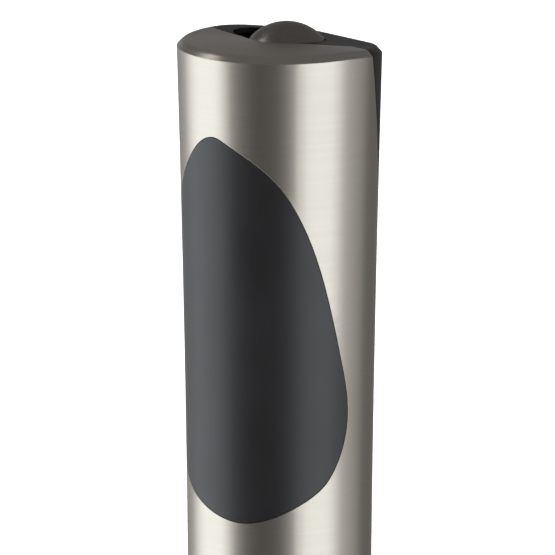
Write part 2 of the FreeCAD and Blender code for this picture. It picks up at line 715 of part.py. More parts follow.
# ---- Gears and drive -------------------------------------------------------------------
def gear(teeth, f0, f1, z, bore):
    """Spur gear on the line x = 0: pinions have a tooth straight up, wheels a gap straight down."""
    angle = math.radians(pressure_angle)
    pitch = module * teeth / 2
    base_circle = pitch * math.cos(angle)
    root, tip = pitch - dedendum * module, pitch + addendum * module
    half_tooth = (math.pi * module / 2 - backlash) / 2 / pitch
    involute = math.tan(angle) - angle
    start = max(root, base_circle)
    radii = [root] + [start + (tip - start) * step / 3 for step in range(4)]
    phase = math.pi / teeth if teeth > pinion_teeth and teeth % 2 == 0 else 0.0

    def flank(radius):
        roll = math.acos(min(1.0, base_circle / radius))
        return half_tooth + involute - (math.tan(roll) - roll)

    points = []
    for tooth in range(teeth):
        centre = phase + 2 * math.pi * tooth / teeth
        turns = [(radius, centre - flank(radius)) for radius in radii]
        turns += [(radius, centre + flank(radius)) for radius in reversed(radii)]
        points += [at(radius * math.sin(turn), f0, z + radius * math.cos(turn)) for radius, turn in turns]
    blank = Part.Face(Part.makePolygon(points + points[:1])).extrude(FRONT * (f1 - f0))
    return blank.cut(rod_y(bore, f0 - 1, f1 + 1, 0, z))


def web_grooves(shape, f_face, depth, inner, outer, z):
    """Moulded recess between hub and rim on the front of a wheel."""
    return shape.cut(ring_y(inner, outer, f_face - depth, f_face + 1, 0, z))


final_pitch = module * final_teeth / 2
final = gear(final_teeth, *final_f, drive_z, shaft_radius + seat_fit)
final = web_grooves(final, final_f[1], 1.6, shaft_radius + 3.5, final_pitch - 3.5, drive_z)
add("final_gear", final)

second_wheel = gear(second_teeth, *second_f, second_z, axle_radius + running_fit)
second_pinion = gear(pinion_teeth, second_f[1], final_f[1], second_z, axle_radius + running_fit)
add("second_gear", second_wheel.fuse(second_pinion))
first_wheel = gear(first_teeth, *first_f, first_z, axle_radius + running_fit)
first_pinion = gear(pinion_teeth, first_f[1], second_f[1], first_z, axle_radius + running_fit)
add("first_gear", first_wheel.fuse(first_pinion))

wheel_screw_radius = 1.2
shaft = join([
    rod_y(rear_shaft_radius, rear_f[0] - 1.4, second_f[0], 0, drive_z),
    rod_y(shaft_radius, second_f[0], drive_f[0], 0, drive_z),
    rod_y(spigot_radius, drive_f[0], drive_f[1] - 1.0, 0, drive_z)])
shaft = shaft.cut(rod_y(wheel_screw_radius + seat_fit, drive_f[1] - 9, drive_f[1], 0, drive_z))
add("drive_shaft", shaft)

wheel = rod_y(drive_radius, *drive_f, 0, drive_z)
for tooth in range(drive_teeth):
    turn = 2 * math.pi * (tooth + 0.5) / drive_teeth
    deep = drive_radius - drive_tooth_depth
    half_gap = math.pi / drive_teeth * 0.62
    ends = [(deep, turn), (drive_radius + 0.3, turn - half_gap), (drive_radius + 0.3, turn + half_gap)]
    corners = [at(r * math.sin(a), drive_f[0] - 1, drive_z + r * math.cos(a)) for r, a in ends]
    notch = Part.Face(Part.makePolygon(corners + corners[:1])).extrude(FRONT * (drive_width + 2))
    wheel = wheel.cut(notch)
wheel = wheel.cut(rod_y(spigot_radius + seat_fit, drive_f[0] - 1, drive_f[1] + 1, 0, drive_z))
wheel = wheel.cut(rod_y(3.6, drive_f[1] - 1.0, drive_f[1] + 1, 0, drive_z))
add("drive_wheel", wheel)
wheel_screw = join([
    rod_y(3.4, drive_f[1] - 1.0, drive_f[1] - 0.1, 0, drive_z),
    rod_y(wheel_screw_radius, drive_f[1] - 8, drive_f[1] - 1.0, 0, drive_z)])
add("drive_wheel_screw", wheel_screw)

# ---- Lever, knob and cutter ------------------------------------------------------------
hub_radius = 5.2
press_end = (press_end_x, cutter_z - 1.3)
lever = join([
    rod_y(hub_radius, main_f[1] + 0.4, lever_f[1], pivot_x, pivot_z),
    link_y((pivot_x, pivot_z), (cutter_x, cutter_z), arm_half, *lever_f),
    link_y((cutter_x, cutter_z), press_end, press_end_half, *lever_f),
    rod_y(stud_radius + 1.5, *lever_f, cutter_x, cutter_z),
    block(-bar_half, dome_x + bar_half, *lever_f, cutter_z, bar_z[1]),
    block(dome_x - bar_half, dome_x + bar_half, dome_forward - 4.5, lever_f[1], *bar_z)])
lever = lever.cut(rod_y(pivot_radius + running_fit, main_f[0], lever_f[1] + 1, pivot_x, pivot_z))
stud_root = lever_f[0] + 0.5
lever = lever.cut(rod_y(3.0 + seat_fit, stud_root, lever_f[1] + 1, cutter_x, cutter_z))
add("cutter_lever", lever)


def dome(inset):
    """The knob's form: a short skirt under a shallow cap."""
    radius = dome_radius - inset
    ball = (dome_radius ** 2 + dome_rise ** 2) / (2 * dome_rise)
    centre_z = dome_z + dome_rise - ball
    cap = Part.makeSphere(ball - inset, at(dome_x, dome_forward, centre_z))
    cap = cap.common(rod_z(radius, dome_z, dome_z + dome_rise + 1, dome_x, dome_forward))
    return join([cap, rod_z(radius, dome_z - dome_skirt, dome_z, dome_x, dome_forward)])


add("dome_cap", dome(0).cut(dome(dome_wall)))
stem = rod_z(bar_half, bar_z[1], dome_z, dome_x, dome_forward)
add("dome_core", join([dome(dome_wall + seat_fit), stem]))

flange_f = (flat_f + 1.0, drive_f[1] - 1.5)
flange_radius = 6.5
spindle_radius = 3.0
axle = join([
    rod_y(3.0, stud_root, lever_f[1], cutter_x, cutter_z),
    rod_y(stud_radius, lever_f[1], flange_f[0], cutter_x, cutter_z),
    rod_y(flange_radius, *flange_f, cutter_x, cutter_z),
    rod_y(spindle_radius, flange_f[1], cutter_f[1] + 0.1, cutter_x, cutter_z)])
axle = axle.cut(rod_y(screw_radius, flange_f[0], cutter_f[1] + 1, cutter_x, cutter_z))
add("cutter_axle", axle)
add("cutter_washer", ring_y(spindle_radius + seat_fit, 5.0, flange_f[1], cutter_f[0] - 0.1, cutter_x, cutter_z))
cutter_screw = join([
    rod_y(screw_radius - seat_fit, flange_f[0] + 1, cutter_f[1] + 0.1, cutter_x, cutter_z),
    rod_y(4.5, cutter_f[1] + 0.1, cutter_f[1] + 2.3, cutter_x, cutter_z)])
cutter_screw = cutter_screw.cut(block(cutter_x - 5, cutter_x + 5, cutter_f[1] + 1.4, cutter_f[1] + 3, cutter_z - 0.6, cutter_z + 0.6))
add("cutter_screw", cutter_screw)

bevel_start = cutter_radius - 2.6
edge_half = 0.1
outline = [
    at(0, cutter_f[0], cutter_z), at(0, cutter_f[1], cutter_z),
    at(bevel_start, cutter_f[1], cutter_z),
    at(cutter_radius, cutter_f[0] + 2 * edge_half, cutter_z),
    at(cutter_radius, cutter_f[0], cutter_z)]
disc_face = Part.Face(Part.makePolygon(outline + outline[:1]))
disc = disc_face.revolve(at(0, 0, cutter_z), Y_AXIS, 360)
disc.translate(V(cutter_x, 0, 0))
disc = Part.makeSolid(disc.Shells[0])
add("cutting_wheel", disc.cut(rod_y(spindle_radius + running_fit, cutter_f[0] - 1, cutter_f[1] + 1, cutter_x, cutter_z)))

spring_top_z = cutter_z - 1.3 * (spring_x - cutter_x) / (press_end_x - cutter_x) - press_end_half
spring_height = spring_top_z - spring_seat_z - spring_wire - 0.5
helix = Part.makeHelix(spring_height / 7, spring_height, spring_radius)
section = Part.Wire([Part.Circle(V(spring_radius, 0, 0), Y_AXIS, spring_wire / 2).toShape()])
coil_spring = Part.Wire(helix.Edges).makePipeShell([section], True, True)
coil_spring.translate(at(spring_x, spring_f, spring_seat_z + spring_wire / 2 + 0.1))
add("lever_spring", coil_spring)

# ---- Start switch ----------------------------------------------------------------------
switch_half = 3.25
switch_height = 13.0
switch_f = (main_f[1], main_f[1] + 5.8)
switch_top = drive_z + 5.5
plunger_radius = 1.2
plunger_travel = 1.1
plunger_rest = switch_top + 2.0
plunger_f = main_f[1] + 3.0
switch = block(press_end_x - switch_half, press_end_x + switch_half, *switch_f, switch_top - switch_height, switch_top)
switch = switch.cut(rod_z(plunger_radius + running_fit, switch_top - 6.5, switch_top + 1, press_end_x, plunger_f))
add("start_switch", switch)
add("switch_plunger", rod_z(plunger_radius, switch_top - 5.0, plunger_rest, press_end_x, plunger_f))
blade_low = switch_top - switch_height - 4.5
add("switch_terminals", Part.makeCompound([
    block(press_end_x + dx - 1.2, press_end_x + dx + 1.2, plunger_f - 0.3, plunger_f + 0.3, blade_low, blade_low + 4.5)
    for dx in (-1.7, 1.7)]))

# ---- Motor -----------------------------------------------------------------------------
core_f = (core_back_f, core_front_f)
core = block(-core_half_width, core_half_width, *core_f, core_bottom, core_top)
core_cut = (core_f[0] - 1, core_f[1] + 1)
window_low = core_bottom + core_leg
core = core.cut(block(-core_window_half, core_window_half, *core_cut, window_low, window_low + core_window_height))
core = core.cut(rod_y(rotor_radius + rotor_gap, *core_cut, 0, rotor_z))
bracket_half = core_half_width - 1.0
bracket_z0, bracket_z1 = rotor_z - 14.8, core_top - 1.0
front_bracket_f = (core_f[1], core_f[1] + bracket_sheet)
rear_bracket_f = (core_f[0] - bracket_sheet, core_f[0])
bearing_outer = axle_radius + 3.0
brackets = {"motor_bracket_front": front_bracket_f, "motor_bracket_rear": rear_bracket_f}
for name, (f0, f1) in brackets.items():
    bracket = block(-bracket_half, bracket_half, f0, f1, bracket_z0, bracket_z1)
    bracket = bracket.cut(rod_y(bearing_outer + seat_fit, f0 - 1, f1 + 1, 0, rotor_z))
    for x, z in motor_screw_places:
        bracket = bracket.cut(rod_y(screw_radius, f0 - 1, f1 + 1, x, z))
    add(name, bracket)
for x, z in motor_screw_places:
    core = core.cut(rod_y(screw_radius, *core_cut, x, z))
add("stator_core", core)
add("motor_bearings", Part.makeCompound([
    ring_y(axle_radius + running_fit, bearing_outer, f0, f1, 0, rotor_z)
    for f0, f1 in (front_bracket_f, rear_bracket_f)]))
add("motor_standoffs", Part.makeCompound([
    ring_y(screw_radius, spacer_radius, front_bracket_f[1], rear_f[0], x, z) for x, z in motor_screw_places]))
add("motor_screws", Part.makeCompound([
    screw_y(rear_bracket_f[0], rear_f[1], x, z, False) for x, z in motor_screw_places]))

leg_gap = 0.3
leg = (core_bottom - leg_gap, window_low + leg_gap)
leg_f = (core_f[0] - leg_gap, core_f[1] + leg_gap)
grown_leg = block(-coil_half_width, coil_half_width, leg_f[0] - bobbin_wall, leg_f[1] + bobbin_wall,
                  leg[0] - bobbin_wall, leg[1] + bobbin_wall)
coil_f = (core_f[0] - coil_depth + 1.7, core_f[1] + coil_depth - 1.7)
coil_z = (leg[0] - coil_depth, leg[1] + coil_depth)
coil_box = block(-coil_half_width, coil_half_width, *coil_f, *coil_z)
leg_hole = block(-coil_half_width - 1, coil_half_width + 1, *leg_f, *leg)
between = block(-coil_half_width + bobbin_wall, coil_half_width - bobbin_wall, *coil_f, *coil_z)
flanges = coil_box.cut(between)
add("coil_bobbin", join([flanges, grown_leg]).cut(leg_hole))
winding_box = block(-coil_half_width + bobbin_wall, coil_half_width - bobbin_wall,
                    coil_f[0] + 0.4, coil_f[1] - 0.4, coil_z[0] + 0.4, coil_z[1] - 0.4)
add("coil_winding", winding_box.cut(grown_leg))

shaft_back_f = rear_bracket_f[0] - 6.0
add("rotor_shaft", rod_y(axle_radius, shaft_back_f, first_f[1], 0, rotor_z))
add("rotor", ring_y(axle_radius + seat_fit, rotor_radius, *core_f, 0, rotor_z))
add("motor_pinion", gear(pinion_teeth, *first_f, rotor_z, axle_radius + seat_fit))
fan_f = (shaft_back_f + 0.5, rear_bracket_f[0] - 1.5 - screw_head_height)
fan_radius = math.sqrt(frame_inner ** 2 - fan_f[0] ** 2) - 2.0
fan = [rod_y(axle_radius + 1.6, *fan_f, 0, rotor_z)]
for blade in range(8):
    vane = block(0, fan_radius, *fan_f, rotor_z - 0.5, rotor_z + 0.5)
    vane.rotate(at(0, 0, rotor_z), Y_AXIS, 45 * blade)
    fan.append(vane)
add("cooling_fan", join(fan).cut(rod_y(axle_radius + seat_fit, fan_f[0] - 1, fan_f[1] + 1, 0, rotor_z)))

# ---- Magnet on its swinging arm --------------------------------------------------------
ear_sheet = 1.5
ear_clearance = 0.3
pin_radius = 1.5
ear_inner = arm_width / 2 + ear_clearance / 2
ear_outer = ear_inner + ear_sheet
magnet_pin_f = flat_f + 5.5
magnet_pin_z = (bracket_z[0] + bracket_z[1]) / 2
bracket = [block(magnet_x - ear_outer, magnet_x + ear_outer, flat_f, flat_f + ear_sheet, *bracket_z)]
for side in (-1, 1):
    span = sorted((magnet_x + side * ear_inner, magnet_x + side * ear_outer))
    bracket.append(block(*span, flat_f, magnet_pin_f + 3.0, magnet_pin_z - 4.5, magnet_pin_z + 4.5))
for z in bracket_rivet_z:
    bracket.append(rod_y(bracket_rivet_radius, cover_back_f, flat_f + 0.5, magnet_x, z))
bracket = join(bracket)
pin_span = (magnet_x - ear_outer - 0.6, magnet_x + ear_outer + 0.6)
bracket = bracket.cut(rod_x(pin_radius + seat_fit, pin_span[0] - 1, pin_span[1] + 1, magnet_pin_f, magnet_pin_z))
add("magnet_bracket", bracket)
add("magnet_pin", rod_x(pin_radius, *pin_span, magnet_pin_f, magnet_pin_z))

cup_f = magnet_pin_f + magnet_reach
cup_z = (drive_z + drive_radius + 4.5, drive_z + drive_radius + 4.5 + cup_height)
arm_end_z = cup_z[1] + 4.0
arm_low = 2.4
reach_wire = [
    at(magnet_x - arm_width / 2, magnet_pin_f, magnet_pin_z - arm_low),
    at(magnet_x - arm_width / 2, cup_f - 3, arm_end_z - arm_low),
    at(magnet_x - arm_width / 2, cup_f - 3, cup_z[1] - 0.5),
    at(magnet_x - arm_width / 2, cup_f + 3, cup_z[1] - 0.5),
    at(magnet_x - arm_width / 2, cup_f + 3, arm_end_z + arm_low - 1),
    at(magnet_x - arm_width / 2, cup_f + 1, arm_end_z + arm_low),
    at(magnet_x - arm_width / 2, magnet_pin_f, magnet_pin_z + arm_low)]
arm = Part.Face(Part.makePolygon(reach_wire + reach_wire[:1])).extrude(V(arm_width, 0, 0))
arm_hub = rod_x(3.2, magnet_x - arm_width / 2, magnet_x + arm_width / 2, magnet_pin_f, magnet_pin_z)
cup = rod_z(cup_radius, *cup_z, magnet_x, cup_f)
cup = cup.makeFillet(1.0, [e for e in cup.Edges if e.BoundBox.ZMin > cup_z[1] - 0.1])
arm = join([arm, arm_hub, cup])
arm = arm.cut(rod_x(pin_radius + running_fit, pin_span[0], pin_span[1], magnet_pin_f, magnet_pin_z))
magnet_seat = cup_z[1] - 1.2
arm = arm.cut(rod_z(magnet_radius + seat_fit, cup_z[0] - 1, magnet_seat, magnet_x, cup_f))
add("magnet_arm", arm)
add("magnet", rod_z(magnet_radius, cup_z[0] - 0.4, magnet_seat, magnet_x, cup_f))

if __name__ == "__main__":
    os.makedirs("parts", exist_ok=True)
    for name, shape in nodes.items():
        shape.exportStep("parts/" + name + ".step")
    print(len(nodes), "nodes")
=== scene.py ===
import math

import bmesh
import bpy
from bpy.props import FloatProperty, FloatVectorProperty, IntProperty, PointerProperty
from mathutils import Matrix, Vector


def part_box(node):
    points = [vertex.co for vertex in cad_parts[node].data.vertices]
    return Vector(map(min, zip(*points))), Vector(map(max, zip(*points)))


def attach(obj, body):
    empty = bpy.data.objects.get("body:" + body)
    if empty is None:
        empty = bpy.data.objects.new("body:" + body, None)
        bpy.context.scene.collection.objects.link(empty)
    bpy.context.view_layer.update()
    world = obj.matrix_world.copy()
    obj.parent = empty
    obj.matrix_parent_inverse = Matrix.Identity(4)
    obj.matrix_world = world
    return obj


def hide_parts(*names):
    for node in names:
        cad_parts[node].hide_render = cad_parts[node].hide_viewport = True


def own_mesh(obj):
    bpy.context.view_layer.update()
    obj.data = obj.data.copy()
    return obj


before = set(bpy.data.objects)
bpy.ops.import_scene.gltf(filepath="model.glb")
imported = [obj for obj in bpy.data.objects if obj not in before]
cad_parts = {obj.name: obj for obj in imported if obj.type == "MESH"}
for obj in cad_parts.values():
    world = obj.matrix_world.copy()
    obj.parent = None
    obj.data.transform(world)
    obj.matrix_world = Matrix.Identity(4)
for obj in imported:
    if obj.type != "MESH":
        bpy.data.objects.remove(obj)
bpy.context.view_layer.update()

bl_info = {
    "name": "Electric can opener",
    "version": (1, 0, 0),
    "blender": (4, 5, 0),
    "location": "3D Viewport > Sidebar > Can opener",
    "description": "Finishes, small pieces and a studio for an upright electric can opener",
    "category": "Object",
}

MM = 0.001
ACROSS_BRUSHING = 0.25    # a quarter turn: highlights stretch across the brushing


def middle(node):
    """The middle of a CAD node's box."""
    low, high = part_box(node)
    return (low + high) / 2


def size(node):
    low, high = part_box(node)
    return high - low


SHELL_LOW, SHELL_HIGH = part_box("steel_shell")
TOWER_AXIS = Vector((0.0, SHELL_HIGH.y - (SHELL_HIGH.x - SHELL_LOW.x) / 2, 0.0))
DRIVE_AXIS = middle("drive_wheel")
CUTTER_AXIS = middle("cutting_wheel")
DOME_AXIS = middle("dome_cap")
ROTOR_AXIS = middle("rotor")


# ---- Settings --------------------------------------------------------------------------
class OpenerFinishes(bpy.types.PropertyGroup):
    """Colours and grain of the opener's surfaces."""

    steel_colour: FloatVectorProperty(
        name="Steel", description="Colour of the brushed nickel shell",
        subtype="COLOR", size=3, default=(0.74, 0.67, 0.595), min=0.0, max=1.0)
    knob_colour: FloatVectorProperty(
        name="Knob", description="Colour of the darker brushed knob",
        subtype="COLOR", size=3, default=(0.40, 0.355, 0.325), min=0.0, max=1.0)
    housing_colour: FloatVectorProperty(
        name="Housing", description="Colour of the black moulded housing",
        subtype="COLOR", size=3, default=(0.0058, 0.0056, 0.0060), min=0.0, max=1.0)
    grip_colour: FloatVectorProperty(
        name="Grip", description="Colour of the soft grip pad",
        subtype="COLOR", size=3, default=(0.0072, 0.0068, 0.0086), min=0.0, max=1.0)
    brush_spacing: FloatProperty(
        name="Brush spacing", description="Distance between brushing lines up the shell",
        subtype="DISTANCE", unit="LENGTH", default=0.30 * MM, min=0.05 * MM, max=5 * MM)
    brush_length: FloatProperty(
        name="Brush length", description="Length of one brushing line round the shell",
        subtype="DISTANCE", unit="LENGTH", default=28 * MM, min=1 * MM, max=200 * MM)
    edge_rounding: FloatProperty(
        name="Edge rounding", description="Radius that catches the light along crisp edges",
        subtype="DISTANCE", unit="LENGTH", default=0.25 * MM, min=0.0, max=2 * MM)


class OpenerStudio(bpy.types.PropertyGroup):
    """The studio's camera and light."""

    camera_distance: FloatProperty(
        name="Camera distance", description="From the tower's axis, along the floor",
        subtype="DISTANCE", unit="LENGTH", default=3.0, min=0.5, max=10.0)
    camera_height: FloatProperty(
        name="Camera height", description="Height of the camera above the floor",
        subtype="DISTANCE", unit="LENGTH", default=0.825, min=0.0, max=5.0)
    camera_bearing: FloatProperty(
        name="Camera bearing", description="Direction of the camera from the tower, from +X towards +Y",
        subtype="ANGLE", unit="ROTATION", default=math.radians(140.0), min=-math.pi, max=math.pi)
    aim_height: FloatProperty(
        name="Aim height", description="Height on the tower's axis that the camera looks at",
        subtype="DISTANCE", unit="LENGTH", default=0.153, min=0.0, max=0.5)
    focal_length: FloatProperty(
        name="Focal length", description="Focal length in millimetres", default=524.0, min=20.0, max=1200.0)
    floor_light: FloatProperty(
        name="Floor glow", description="How much of the floor's brightness is its own",
        default=0.78, min=0.0, max=2.0)


# ---- Material tools --------------------------------------------------------------------
class Nodes:
    """A short way to wire one material."""

    def __init__(self, name):
        self.material = bpy.data.materials.new(name)
        self.material.use_nodes = True
        self.tree = self.material.node_tree
        self.shader = self.tree.nodes["Principled BSDF"]

    def add(self, kind, **settings):
        node = self.tree.nodes.new(kind)
        for key, value in settings.items():
            setattr(node, key, value)
        return node

    def link(self, source, target):
        self.tree.links.new(source, target)

    def feed(self, target, value):
        """Links a socket, or sets a plain value."""
        if isinstance(value, bpy.types.NodeSocket):
            self.link(value, target)
        else:
            target.default_value = value

    def place(self):
        return self.add("ShaderNodeTexCoord").outputs["Object"]

    def math(self, operation, a, b=0.0):
        node = self.add("ShaderNodeMath", operation=operation)
        self.feed(node.inputs[0], a)
        self.feed(node.inputs[1], b)
        return node.outputs[0]

    def vector(self, operation, a, b=(0.0, 0.0, 0.0)):
        node = self.add("ShaderNodeVectorMath", operation=operation)
        self.feed(node.inputs[0], a)
        self.feed(node.inputs[1], b)
        return node.outputs[0]

    def scaled(self, vector, factors):
        return self.vector("MULTIPLY", vector, factors)

    def noise(self, vector, scale, detail=2.0, roughness=0.5):
        node = self.add("ShaderNodeTexNoise")
        self.feed(node.inputs["Vector"], vector)
        node.inputs["Scale"].default_value = scale
        node.inputs["Detail"].default_value = detail
        node.inputs["Roughness"].default_value = roughness
        return node.outputs["Fac"]

    def span(self, value, low, high, start=0.0, end=1.0):
        """Maps start..end of a value to low..high."""
        node = self.add("ShaderNodeMapRange")
        self.feed(node.inputs["Value"], value)
        node.inputs["From Min"].default_value = start
        node.inputs["From Max"].default_value = end
        node.inputs["To Min"].default_value = low
        node.inputs["To Max"].default_value = high
        return node.outputs["Result"]

    def blend(self, factor, first, second):
        """Mixes two colours."""
        node = self.add("ShaderNodeMix", data_type="RGBA")
        self.feed(node.inputs["Factor"], factor)
        self.feed(node.inputs["A"], first if isinstance(first, bpy.types.NodeSocket) else (*first, 1.0))
        self.feed(node.inputs["B"], second if isinstance(second, bpy.types.NodeSocket) else (*second, 1.0))
        return node.outputs["Result"]

    def bump(self, height, depth, rounding=0.0):
        """Relief of a real depth, over edges rounded by a real radius."""
        node = self.add("ShaderNodeBump")
        node.inputs["Distance"].default_value = depth
        self.link(height, node.inputs["Height"])
        if rounding:
            edge = self.add("ShaderNodeBevel", samples=6)
            edge.inputs["Radius"].default_value = rounding
            self.link(edge.outputs["Normal"], node.inputs["Normal"])
        self.link(node.outputs["Normal"], self.shader.inputs["Normal"])

    def metal(self, roughness, anisotropy=0.0):
        self.shader.inputs["Metallic"].default_value = 1.0
        self.feed(self.shader.inputs["Roughness"], roughness)
        self.shader.inputs["Anisotropic"].default_value = anisotropy
        if anisotropy:
            self.shader.inputs["Anisotropic Rotation"].default_value = ACROSS_BRUSHING

    def around(self, axis_point, axis=(0.0, 0.0, 1.0)):
        """The direction round an axis, for brushing that follows a turned surface."""
        away = self.vector("SUBTRACT", self.place(), tuple(axis_point))
        return self.vector("NORMALIZE", self.vector("CROSS_PRODUCT", axis, away))


def darker(colour, share):
    return tuple(channel * share for channel in colour)


def tower_wrap(made, across, up):
    """Coordinates laid round the tower: lines are long across and fine up."""
    away = made.vector("SUBTRACT", made.place(), tuple(TOWER_AXIS))
    parts = made.add("ShaderNodeSeparateXYZ")
    made.link(away, parts.inputs[0])
    angle = made.math("ARCTAN2", parts.outputs["Y"], parts.outputs["X"])
    radius = (SHELL_HIGH.x - SHELL_LOW.x) / 2
    reach = made.add("ShaderNodeVectorMath", operation="LENGTH")
    flat = made.scaled(away, (1.0, 1.0, 0.0))
    made.link(flat, reach.inputs[0])
    joined = made.add("ShaderNodeCombineXYZ")
    made.link(made.math("MULTIPLY", angle, radius / across), joined.inputs["X"])
    made.link(made.math("MULTIPLY", parts.outputs["Z"], 1.0 / up), joined.inputs["Y"])
    made.link(made.math("MULTIPLY", reach.outputs["Value"], 1.0 / up), joined.inputs["Z"])
    return joined.outputs[0]


# ---- Materials -------------------------------------------------------------------------
def brushed_nickel(finishes):
    made = Nodes("brushed_nickel")
    fine = made.noise(tower_wrap(made, finishes.brush_length, finishes.brush_spacing), 1.0, 3.0, 0.6)
    broad = made.noise(tower_wrap(made, finishes.brush_length * 3, finishes.brush_spacing * 6), 1.0, 2.0)
    colour = tuple(finishes.steel_colour)
    tone = made.span(fine, 0.0, 1.0, 0.3, 0.7)
    made.link(made.blend(tone, darker(colour, 0.97), darker(colour, 1.02)), made.shader.inputs["Base Color"])
    rough = made.math("ADD", made.span(fine, -0.02, 0.02, 0.3, 0.7), made.span(broad, 0.28, 0.31, 0.3, 0.7))
    made.metal(rough, 0.75)
    made.link(made.around(TOWER_AXIS), made.shader.inputs["Tangent"])
    made.bump(fine, 0.0015 * MM, finishes.edge_rounding)
    return made.material


def dark_nickel(finishes):
    made = Nodes("dark_nickel")
    away = made.vector("SUBTRACT", made.place(), tuple(DOME_AXIS))
    streaks = made.noise(made.scaled(away, (30.0, 2600.0, 2600.0)), 1.0, 3.0, 0.6)
    colour = tuple(finishes.knob_colour)
    tone = made.span(streaks, 0.0, 1.0, 0.3, 0.7)
    made.link(made.blend(tone, darker(colour, 0.86), darker(colour, 1.1)), made.shader.inputs["Base Color"])
    made.metal(made.span(streaks, 0.26, 0.36, 0.3, 0.7), 0.55)
    made.link(made.around(DOME_AXIS), made.shader.inputs["Tangent"])
    made.bump(streaks, 0.004 * MM, finishes.edge_rounding)
    return made.material


def moulded(name, colour, roughness, rounding, grain=0.25 * MM, depth=0.02 * MM):
    """Moulded plastic with a fine spark-eroded texture."""
    made = Nodes(name)
    place = made.place()
    texture = made.noise(place, 1.0 / grain, 3.0, 0.65)
    cloud = made.noise(place, 35.0, 3.0)
    tone = made.span(cloud, 0.0, 1.0, 0.3, 0.7)
    made.link(made.blend(tone, darker(colour, 0.88), darker(colour, 1.14)), made.shader.inputs["Base Color"])
    made.link(made.span(cloud, roughness - 0.04, roughness + 0.04, 0.3, 0.7), made.shader.inputs["Roughness"])
    made.bump(texture, depth, rounding)
    return made


def soft_grip(finishes):
    made = moulded("soft_grip", tuple(finishes.grip_colour), 0.36, finishes.edge_rounding, 0.3 * MM, 0.012 * MM)
    made.shader.inputs["Specular IOR Level"].default_value = 0.75
    made.shader.inputs["Sheen Weight"].default_value = 0.06
    made.shader.inputs["Sheen Roughness"].default_value = 0.5
    return made.material


def turned_metal(name, colour, roughness, axis_point, axis, pitch=0.2 * MM):
    """Metal turned on a lathe: fine rings round its own axis."""
    made = Nodes(name)
    away = made.vector("SUBTRACT", made.place(), tuple(axis_point))
    keep = tuple(1.0 - abs(part) for part in axis)
    reach = made.add("ShaderNodeVectorMath", operation="LENGTH")
    made.link(made.scaled(away, keep), reach.inputs[0])
    rings = made.add("ShaderNodeTexNoise", noise_dimensions="1D")
    made.link(made.math("MULTIPLY", reach.outputs["Value"], 1.0 / pitch), rings.inputs["W"])
    rings.inputs["Scale"].default_value = 1.0
    tone = made.span(rings.outputs["Fac"], 0.0, 1.0, 0.3, 0.7)
    made.link(made.blend(tone, darker(colour, 0.86), darker(colour, 1.08)), made.shader.inputs["Base Color"])
    made.metal(made.span(rings.outputs["Fac"], roughness - 0.05, roughness + 0.05, 0.3, 0.7), 0.5)
    made.link(made.around(axis_point, axis), made.shader.inputs["Tangent"])
    made.bump(rings.outputs["Fac"], 0.004 * MM, 0.12 * MM)
    return made.material


def sheet_metal(name, colour, roughness, grain=(900.0, 60.0, 60.0)):
    """Rolled or stamped sheet: a grain along one direction and a little cloud."""
    made = Nodes(name)
    place = made.place()
    roll = made.noise(made.scaled(place, grain), 1.0, 2.0)
    cloud = made.noise(place, 60.0, 3.0)
    tone = made.span(roll, 0.0, 1.0, 0.3, 0.7)
    made.link(made.blend(tone, darker(colour, 0.88), darker(colour, 1.06)), made.shader.inputs["Base Color"])
    made.metal(made.span(cloud, roughness - 0.06, roughness + 0.06, 0.3, 0.7), 0.3)
    made.bump(roll, 0.004 * MM, 0.15 * MM)
    return made.material


def cast_metal(name, colour):
    made = Nodes(name)
    place = made.place()
    skin = made.noise(place, 2600.0, 4.0, 0.6)
    cloud = made.noise(place, 90.0, 3.0)
    tone = made.span(cloud, 0.0, 1.0, 0.3, 0.7)
    made.link(made.blend(tone, darker(colour, 0.84), darker(colour, 1.08)), made.shader.inputs["Base Color"])
    made.metal(made.span(cloud, 0.4, 0.55, 0.3, 0.7))
    made.bump(skin, 0.02 * MM, 0.2 * MM)
    return made.material


def stacked_iron(name):
    """Punched sheets half a millimetre thick, seen edge on."""
    made = Nodes(name)
    place = made.place()
    sheets = made.add("ShaderNodeTexWave", wave_type="BANDS", bands_direction="Y", wave_profile="SIN")
    made.link(place, sheets.inputs["Vector"])
    sheets.inputs["Scale"].default_value = 314.0
    sheets.inputs["Distortion"].default_value = 0.4
    made.link(made.blend(sheets.outputs["Fac"], (0.10, 0.10, 0.105), (0.30, 0.30, 0.31)),
              made.shader.inputs["Base Color"])
    made.metal(0.5)
    made.bump(sheets.outputs["Fac"], 0.05 * MM, 0.1 * MM)
    return made.material


def wound_wire(name):
    """Enamelled copper, its turns side by side along the leg of the iron, with painted shade in the grooves
    between turns.
    """
    made = Nodes(name)
    turns = made.add("ShaderNodeTexWave", wave_type="BANDS", bands_direction="X", wave_profile="SIN")
    made.link(made.place(), turns.inputs["Vector"])
    turns.inputs["Scale"].default_value = 450.0
    # The bands follow the real turns, but their dark half is painted shade in the grooves between turns:
    # enamelled copper has one colour.
    made.link(made.blend(turns.outputs["Fac"], (0.20, 0.06, 0.02), (0.72, 0.31, 0.12)),
              made.shader.inputs["Base Color"])
    made.metal(0.3)
    made.bump(turns.outputs["Fac"], 0.1 * MM)
    return made.material


# ---- Shared steps of the operators -----------------------------------------------------
def finish_nodes(material, *names):
    """Gives CAD nodes their finish."""
    for name in names:
        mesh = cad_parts[name].data
        mesh.materials.clear()
        mesh.materials.append(material)


def new_piece(name, bm, material, body, slot, *stands_for):
    """Makes a finished mesh a piece that rides on a CAD body."""
    bmesh.ops.recalc_face_normals(bm, faces=bm.faces[:])
    mesh = bpy.data.meshes.new(name)
    bm.to_mesh(mesh)
    bm.free()
    mesh.materials.append(material)
    mesh.shade_smooth()
    piece = bpy.data.objects.new(name, mesh)
    bpy.context.scene.collection.objects.link(piece)
    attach(piece, body)
    if stands_for:
        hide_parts(*stands_for)
    return piece


def finishes_of(context):
    return context.scene.opener_finishes


